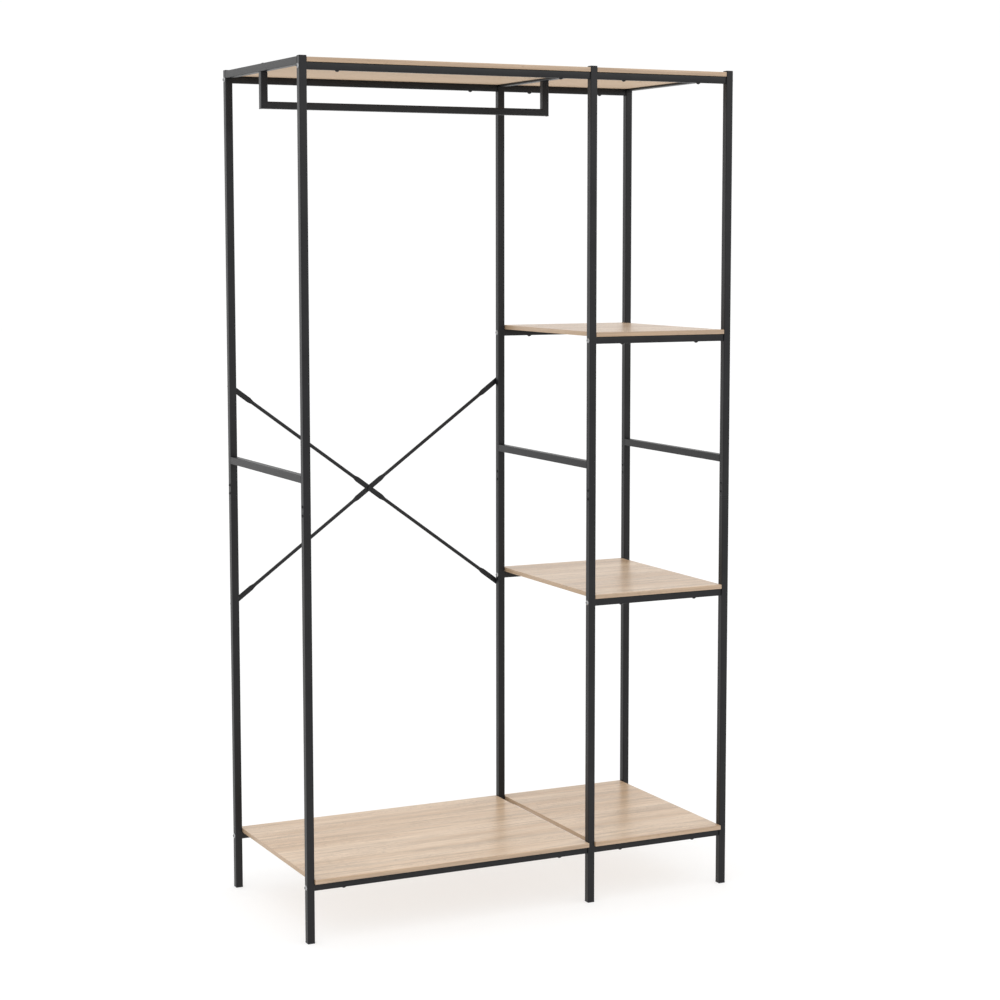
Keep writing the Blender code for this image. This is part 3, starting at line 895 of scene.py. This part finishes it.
class Fasteners:
    """Heads of every kind of fastener and a nut, modelled once and copied to their places."""

    HEADS: dict[Kind, HeadSize] = {
        Kind.RAIL_BOLT: HeadSize(0.0055, 0.0034, 0.0026, 0.0022, Drive.HEX),
        Kind.BRACE_BOLT: HeadSize(0.0048, 0.0026, 0.0019, 0.0015, Drive.HEX),
        Kind.HANGING_BOLT: HeadSize(0.0045, 0.0023, 0.0018, 0.0013, Drive.HEX),
        Kind.SHELF_SCREW: HeadSize(0.0048, 0.0030, 0.0026, 0.0012, Drive.CROSS),
        Kind.SLEEVE_SCREW: HeadSize(0.0036, 0.0023, 0.0020, 0.0004, Drive.CROSS),
    }

    # Rim's bevel as a share of the head's height
    RIM = 0.12

    # One arm of a cross recess: its half width as a share of its reach, and how its bottom narrows
    ARM_WIDTH = 0.28
    ARM_TAPER = (0.55, 0.8, 1.0)

    # Faces of a recess, which take black as painted shade: how far out they lie, how upright its walls are,
    # and a hair's breadth in metres
    RECESS_REACH = 1.02
    UPRIGHT = 0.6
    HAIR = 1e-5

    def __init__(self, finishes: Finishes) -> None:
        """Model one fastener of each kind.

        Args:
            finishes: Finishes of the wardrobe.
        """
        self.finishes = finishes
        self.templates = {kind: self.head(f"{kind.value} head", size) for kind, size in self.HEADS.items()}
        self.templates[Kind.BRACE_NUT] = self.nut(Kind.BRACE_NUT.value, NutSize())

    def head(self, name: str, size: HeadSize) -> Object:
        """Domed head above z = 0: a cut sphere with a rolled rim and a driving recess.

        Args:
            name: Name of the template.
            size: Sizes of the head.

        Returns:
            The head, its recess faces in the second material slot, which paints them black as shade.
        """
        sphere = (size.radius**2 + size.height**2) / (2 * size.height)
        centre = (0.0, 0.0, size.height - sphere)
        bpy.ops.object.select_all(action="DESELECT")
        bpy.ops.mesh.primitive_uv_sphere_add(segments=32, ring_count=24, radius=sphere, location=centre)
        head = new_primitive(name)
        with editing(head):
            bpy.ops.mesh.select_all(action="SELECT")
            bpy.ops.mesh.bisect(plane_co=(0, 0, 0), plane_no=(0, 0, 1), use_fill=True, clear_inner=True)
        apply_modifier(head, "BEVEL", width=size.height * self.RIM, segments=2, angle_limit=SHARP)
        if size.drive is Drive.HEX:
            cut_out(head, self.hexagon(size))
        else:
            for angle in (0.0, math.pi / 2):
                cut_out(head, self.blade(size, angle))
        self.paint_recess_shade(head, size)
        smooth(head)
        return head

    def hexagon(self, size: HeadSize) -> Object:
        """Six-sided tool for a hexagon socket.

        Args:
            size: Sizes of the head.

        Returns:
            The tool.
        """
        top = (0.0, 0.0, size.height)
        depth = 2 * size.recess_depth
        bpy.ops.object.select_all(action="DESELECT")
        bpy.ops.mesh.primitive_cylinder_add(vertices=6, radius=size.recess, depth=depth, location=top)
        return new_primitive("hexagon tool")

    def blade(self, size: HeadSize, angle: float) -> Object:
        """Tapered tool for one arm of a cross recess.

        Args:
            size: Sizes of the head.
            angle: Turn of the arm, in radians.

        Returns:
            The tool.
        """
        width = self.ARM_WIDTH * size.recess
        low = Vector((-size.recess, -width, size.height - size.recess_depth))
        high = Vector((size.recess, width, size.height + size.recess_depth))
        tool = add_block("cross recess tool", low, high)
        with editing(tool):
            pick_faces(tool, towards(-UP))
            bpy.ops.transform.resize(value=self.ARM_TAPER)
        tool.data.transform(Matrix.Rotation(angle, 4, "Z"))
        return tool

    def paint_recess_shade(self, head: Object, size: HeadSize) -> None:
        """Put the faces inside the recess in the second material slot, so that they are painted black as
        shade.

        Args:
            head: The head.
            size: Its sizes.
        """
        floor = size.height - size.recess_depth
        for face in head.data.polygons:
            centre = face.center
            inside = Vector((centre.x, centre.y)).length < size.recess * self.RECESS_REACH
            upright = abs(face.normal.z) < self.UPRIGHT
            if inside and centre.z > floor - self.HAIR and (upright or centre.z < floor + self.HAIR):
                face.material_index = 1

    def nut(self, name: str, size: NutSize) -> Object:
        """Six-sided nut below z = 0 with chamfered corners and a shallow recess where its bore is.

        Args:
            name: Name of the template.
            size: Sizes of the nut.

        Returns:
            The nut.
        """
        height = size.height
        middle = (0.0, 0.0, -height / 2)
        bpy.ops.object.select_all(action="DESELECT")
        bpy.ops.mesh.primitive_cylinder_add(vertices=6, radius=size.radius, depth=height, location=middle)
        nut = new_primitive(name)
        apply_modifier(nut, "BEVEL", width=size.chamfer, segments=2, angle_limit=SHARP)
        with editing(nut):
            pick_faces(nut, towards(-UP))
            bpy.ops.mesh.inset(thickness=size.radius - size.bore)
            bpy.ops.transform.translate(value=(0.0, 0.0, size.countersink))
        smooth(nut)
        return nut

    def place(self, kind: Kind, name: str, seat: Vector, direction: Vector) -> Object:
        """Copy a fastener to its seat. Rail bolts are zinc-plated, and all others are black. The black
        plastic in the second slot paints each recess as shade.

        Args:
            kind: Kind of the fastener.
            name: Name of the piece.
            seat: Middle of the face that it sits on.
            direction: Way that its head points.

        Returns:
            The piece.
        """
        piece = copied(self.templates[kind], name, seat, direction)
        # The moulded black plastic in the second slot is painted shade inside the recess
        if kind is Kind.RAIL_BOLT:
            finish_piece(piece, Slot.ZINC, self.finishes.zinc, self.finishes.plastic)
        else:
            finish_piece(piece, Slot.STEEL, self.finishes.screw, self.finishes.plastic)
        return piece

    def clear(self) -> None:
        """Remove the templates."""
        for template in self.templates.values():
            bpy.data.objects.remove(template)


@dataclass
class SideFrames:
    """Posts, legs and side rails of the three side frames, with their welds and sleeve screws."""

    finishes: Finishes
    fasteners: Fasteners
    wall: float = 0.0010
    corner: float = 0.0016
    joint_height: float = 0.872
    screw_rises: tuple[float, float] = (0.013, 0.031)
    bead: float = 0.0011
    bead_stand: float = 0.00018
    bead_waver: float = 0.4
    bead_cuts: int = 3
    smoothing: float = 60.0

    def build(self) -> None:
        """Dress the frames and add their welds and screws."""
        for name in FRAMES:
            for side in SIDES:
                dress_node(f"{name}_{side}_upper_post", self.finishes.steel)
                dress_node(f"{name}_{side}_leg", self.finishes.steel)
                self.add_sleeve_screws(name, side)
            dress_node(f"{name}_middle_side_rail", self.finishes.steel)
            if name == "right":
                dress_node(f"{name}_top_side_rail", self.finishes.steel)
            else:
                self.add_top_rail(name)
            self.add_welds(name)
            log.info("%s side frame dressed", name)

    def add_sleeve_screws(self, name: str, side: str) -> None:
        """Two cross-recess screws above a leg joint.

        Args:
            name: Name of the frame.
            side: Front or rear.
        """
        low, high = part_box(f"{name}_{side}_leg")
        outward = RIGHTWARD if name == "right" else LEFTWARD
        face = high.x if name == "right" else low.x
        for number, rise in enumerate(self.screw_rises, start=1):
            seat = Vector((face, (low.y + high.y) / 2, self.joint_height + rise))
            head = f"{name}_{side}_sleeve_screw_head_{number}"
            self.fasteners.place(Kind.SLEEVE_SCREW, head, seat, outward)

    def add_top_rail(self, name: str) -> None:
        """Top side rail with rounder corners, and the hanging bolt's head on it.

        Args:
            name: Name of the frame.
        """
        node = f"{name}_top_side_rail"
        low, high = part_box(node)
        bare_low, bare_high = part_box("right_top_side_rail")
        low.z, high.z = bare_low.z, bare_high.z
        rail = add_tube(f"{name}_top_side_tube", low, high, REARWARD, self.wall, self.corner)
        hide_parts(node)
        finish_piece(rail, Slot.STEEL, self.finishes.steel)
        seat = Vector(((low.x + high.x) / 2, (low.y + high.y) / 2, high.z))
        self.fasteners.place(Kind.HANGING_BOLT, f"{name}_hanging_bolt_head", seat, UP)

    def add_welds(self, name: str) -> None:
        """Weld bead round each end of both side rails.

        Args:
            name: Name of the frame.
        """
        post_low, post_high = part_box(f"{name}_front_leg")
        stand = Vector((self.bead_stand, 0.0, self.bead_stand))
        for label, rail in (("top", "right_top_side_rail"), ("middle", f"{name}_middle_side_rail")):
            low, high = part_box(rail)
            for end, y in (("front", low.y), ("rear", high.y)):
                seam_low = Vector((post_low.x, y - self.bead, low.z)) - stand
                seam_high = Vector((post_high.x, y + self.bead, high.z)) + stand
                self.add_seam(f"{name}_{label}_{end}_weld", seam_low, seam_high)

    def add_seam(self, name: str, low: Vector, high: Vector) -> None:
        """Thin uneven bead that runs round a square tube.

        Args:
            name: Name of the piece.
            low: Lowest corner.
            high: Highest corner.
        """
        seam = add_block(name, low, high)
        with editing(seam):
            open_ends(seam, REARWARD, self.corner, segments=3)
            bpy.ops.mesh.select_all(action="SELECT")
            bpy.ops.mesh.subdivide(number_cuts=self.bead_cuts)
            bpy.ops.transform.vertex_random(offset=self.bead_stand * self.bead_waver, seed=len(name))
        apply_modifier(seam, "SOLIDIFY", thickness=self.wall, offset=-1.0)
        smooth(seam, self.smoothing)
        finish_piece(seam, Slot.STEEL, self.finishes.steel)


@dataclass
class LongRails:
    """Rails under the boards, front and rear, with their bolt heads and shelf screws."""

    finishes: Finishes
    fasteners: Fasteners
    height: float = 0.015
    depth: float = 0.010
    wall: float = 0.0010
    corner: float = 0.0012
    recess: float = 0.003
    screw_inset: float = 0.067

    def build(self) -> None:
        """Model every rail with its screws, and the heads of the bolts that hold them."""
        for bay in BAYS:
            for level in bay.levels:
                for side in SIDES:
                    low, high = self.corners(bay, level, side)
                    self.add_rail(f"{bay.name}_{level}_{side}", low, high)
                    self.add_shelf_screws(bay, level, side, low)
                    self.add_rail_bolts(bay, level, side, low)
            log.info("long rails of the %s bay modelled", bay.name)

    def corners(self, bay: Bay, level: str, side: str) -> tuple[Vector, Vector]:
        """Corners of a rail between two posts, under its board.

        Args:
            bay: Bay that the rail spans.
            level: Board that it carries.
            side: Front or rear.

        Returns:
            Lowest and highest corner.
        """
        post_low, post_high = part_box(f"{bay.first}_{side}_leg")
        first, last = bay.reach(side, GAP)
        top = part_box(f"{bay.name}_{level}_board")[0].z - GAP
        near = post_low.y + self.recess if side == "front" else post_high.y - self.recess - self.depth
        return Vector((first, near, top - self.height)), Vector((last, near + self.depth, top))

    def add_rail(self, name: str, low: Vector, high: Vector) -> None:
        """One rail in the place of its node.

        Args:
            name: Start of its name.
            low: Lowest corner.
            high: Highest corner.
        """
        rail = add_tube(f"{name}_tube", low, high, RIGHTWARD, self.wall, self.corner)
        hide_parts(f"{name}_rail")
        finish_piece(rail, Slot.STEEL, self.finishes.steel)

    def add_shelf_screws(self, bay: Bay, level: str, side: str, low: Vector) -> None:
        """Two screws that hold a board, their heads under its rail.

        Args:
            bay: Bay of the board.
            level: Level of the board.
            side: Front or rear.
            low: Lowest corner of the rail.
        """
        for number, x in enumerate(bay.reach(side, self.screw_inset), start=1):
            seat = Vector((x, low.y + self.depth / 2, low.z))
            head = f"{bay.name}_{level}_{side}_shelf_screw_{number}"
            self.fasteners.place(Kind.SHELF_SCREW, head, seat, -UP)

    def add_rail_bolts(self, bay: Bay, level: str, side: str, low: Vector) -> None:
        """Bolt heads on the outer faces of the posts. A hidden stud joins two rails that meet at a post.

        Args:
            bay: Bay of the rail.
            level: Level of the rail.
            side: Front or rear.
            low: Lowest corner of the rail.
        """
        middle = Vector((0.0, low.y + self.depth / 2, low.z + self.height / 2))
        if bay.first == "left" or level in ("upper", "lower"):
            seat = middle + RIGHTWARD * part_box(f"{bay.first}_{side}_leg")[0].x
            head = f"{bay.first}_{level}_{side}_rail_bolt_head"
            self.fasteners.place(Kind.RAIL_BOLT, head, seat, LEFTWARD)
        if bay.last == "right":
            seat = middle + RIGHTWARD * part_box(f"{bay.last}_{side}_leg")[1].x
            head = f"{bay.last}_{level}_{side}_rail_bolt_head"
            self.fasteners.place(Kind.RAIL_BOLT, head, seat, RIGHTWARD)


@dataclass
class Boards:
    """The boards, each up to its posts, with rounded edge bands and its own stretch of the decor."""

    end_gap: float = 0.0001
    rounding: float = 0.0011
    end_rounding: float = 0.0004
    band: float = 0.0010
    groove: float = 0.00012
    smoothing: float = 25.0
    decor_step: Vector = Vector((0.83, 0.37, 0.0))

    def build(self) -> None:
        """Model and dress the boards, each with its decor moved so that no two match."""
        boards = [(bay, level) for bay in BAYS for level in bay.levels]
        for number, (bay, level) in enumerate(boards):
            self.add_board(bay, level, self.decor_step * number)

    def add_board(self, bay: Bay, level: str, shift: Vector) -> None:
        """One board in the place of its node.

        Args:
            bay: Bay of the board.
            level: Level of the board.
            shift: Way that its decor is moved.
        """
        node = f"{bay.name}_{level}_board"
        low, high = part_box(node)
        low.x, high.x = bay.reach("front", self.end_gap)
        panel = self.add_panel(f"{bay.name}_{level}_panel", low, high)
        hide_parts(node)
        decor = OakDecor(name=f"light oak decor of the {bay.name} {level} board", shift=shift)
        finish_piece(panel, Slot.OAK, decor.build())
        log.info("%s %s board modelled", bay.name, level)

    def add_panel(self, name: str, low: Vector, high: Vector) -> Object:
        """Board between two corners: rounded edges, and a fine joint where each band meets a face.

        Args:
            name: Name of the piece.
            low: Lowest corner.
            high: Highest corner.

        Returns:
            The panel.
        """
        panel = add_block(name, low, high)
        with editing(panel):
            pick_edges(panel, parallel(RIGHTWARD))
            bpy.ops.mesh.bevel(offset=self.rounding, segments=4, affect="EDGES")
            pick_faces(panel, parallel(RIGHTWARD))
            bpy.ops.mesh.bevel(offset=self.end_rounding, segments=2, affect="EDGES")
            for face in (UP, -UP):
                pick_faces(panel, towards(face, SAME))
                bpy.ops.mesh.inset(thickness=self.band)
                bpy.ops.mesh.inset(thickness=self.groove, depth=-self.groove)
                bpy.ops.mesh.inset(thickness=self.groove, depth=self.groove)
        smooth(panel, self.smoothing)
        return panel


@dataclass
class HangingBar:
    """Bar and drops that make a U, with a ground weld along each mitre."""

    finishes: Finishes
    tube: float = 0.015
    wall: float = 0.0010
    corner: float = 0.0016
    stand: float = 0.00015
    bead: float = 0.0011
    smoothing: float = 60.0

    def build(self) -> None:
        """Dress the bar and weld its corners."""
        for node in ("hanging_bar", "hanging_bar_left_drop", "hanging_bar_right_drop"):
            dress_node(node, self.finishes.steel)
        low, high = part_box("hanging_bar")
        for label, x, turn in (("left", low.x, 1.0), ("right", high.x, -1.0)):
            corner = Vector((x + turn * self.tube / 2, (low.y + high.y) / 2, low.z + self.tube / 2))
            self.add_mitre(f"hanging_bar_{label}_mitre_weld", corner, turn * math.pi / 4)
        log.info("hanging bar dressed")

    def add_mitre(self, name: str, corner: Vector, angle: float) -> None:
        """Weld bead along a mitred corner.

        Args:
            name: Name of the piece.
            corner: Middle of the mitre.
            angle: Lean of the mitre, in radians.
        """
        reach = self.tube / 2 + self.stand
        half = Vector((self.bead / 2, reach, reach * math.sqrt(2)))
        seam = add_block(name, -half, half)
        with editing(seam):
            open_ends(seam, RIGHTWARD, self.corner, segments=3)
        apply_modifier(seam, "SOLIDIFY", thickness=self.wall, offset=-1.0)
        seam.data.transform(Matrix.Translation(corner) @ Matrix.Rotation(angle, 4, "Y"))
        smooth(seam, self.smoothing)
        finish_piece(seam, Slot.STEEL, self.finishes.steel)


@dataclass
class BackBrace:
    """Two crossed rods with flattened ends, bolted to the rear posts and to each other."""

    finishes: Finishes
    fasteners: Fasteners
    rods: tuple[str, ...] = ("falling_brace_rod", "rising_brace_rod")
    ends: tuple[str, ...] = ("left_upper", "left_lower", "centre_upper", "centre_lower")
    end_grip: float = 0.0039
    crossing_grip: float = 0.0049
    smoothing: float = 50.0

    def build(self) -> None:
        """Dress the rods and model their bolts."""
        for node in self.rods:
            dress_node(node, self.finishes.steel, self.smoothing)
        for end in self.ends:
            self.add_bolt(f"brace_{end}_bolt", self.end_grip)
        self.add_bolt("brace_crossing_bolt", self.crossing_grip)
        log.info("brace dressed")

    def add_bolt(self, node: str, grip: float) -> None:
        """Detailed head and nut in the place of a plain bolt.

        Args:
            node: Name of the bolt's node.
            grip: Distance from under the head to the nut.
        """
        low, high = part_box(node)
        seat_y = high.y - self.fasteners.HEADS[Kind.BRACE_BOLT].height
        seat = Vector(((low.x + high.x) / 2, seat_y, (low.z + high.z) / 2))
        head = self.fasteners.place(Kind.BRACE_BOLT, f"{node}_head", seat, REARWARD)
        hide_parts(node)
        self.fasteners.place(Kind.BRACE_NUT, f"{node}_nut", seat - REARWARD * grip, REARWARD)


@dataclass
class CapsAndFeet:
    """Plastic caps in the post tops and feet under the legs."""

    finishes: Finishes
    kinds: tuple[str, ...] = ("cap", "foot")

    def build(self) -> None:
        """Dress the caps and feet."""
        for name in FRAMES:
            for side in SIDES:
                for kind in self.kinds:
                    dress_node(f"{name}_{side}_{kind}", self.finishes.plastic)
        log.info("caps and feet dressed")


def main() -> None:
    """Dress the wardrobe and set up the studio."""
    logging.basicConfig(level=logging.INFO, format="%(name)s: %(message)s")
    bpy.context.scene.view_settings.view_transform = "Standard"
    finishes = Finishes()
    fasteners = Fasteners(finishes)
    SideFrames(finishes, fasteners).build()
    LongRails(finishes, fasteners).build()
    Boards().build()
    HangingBar(finishes).build()
    BackBrace(finishes, fasteners).build()
    CapsAndFeet(finishes).build()
    fasteners.clear()
    Studio().build()


if __name__ == "__main__":
    main()
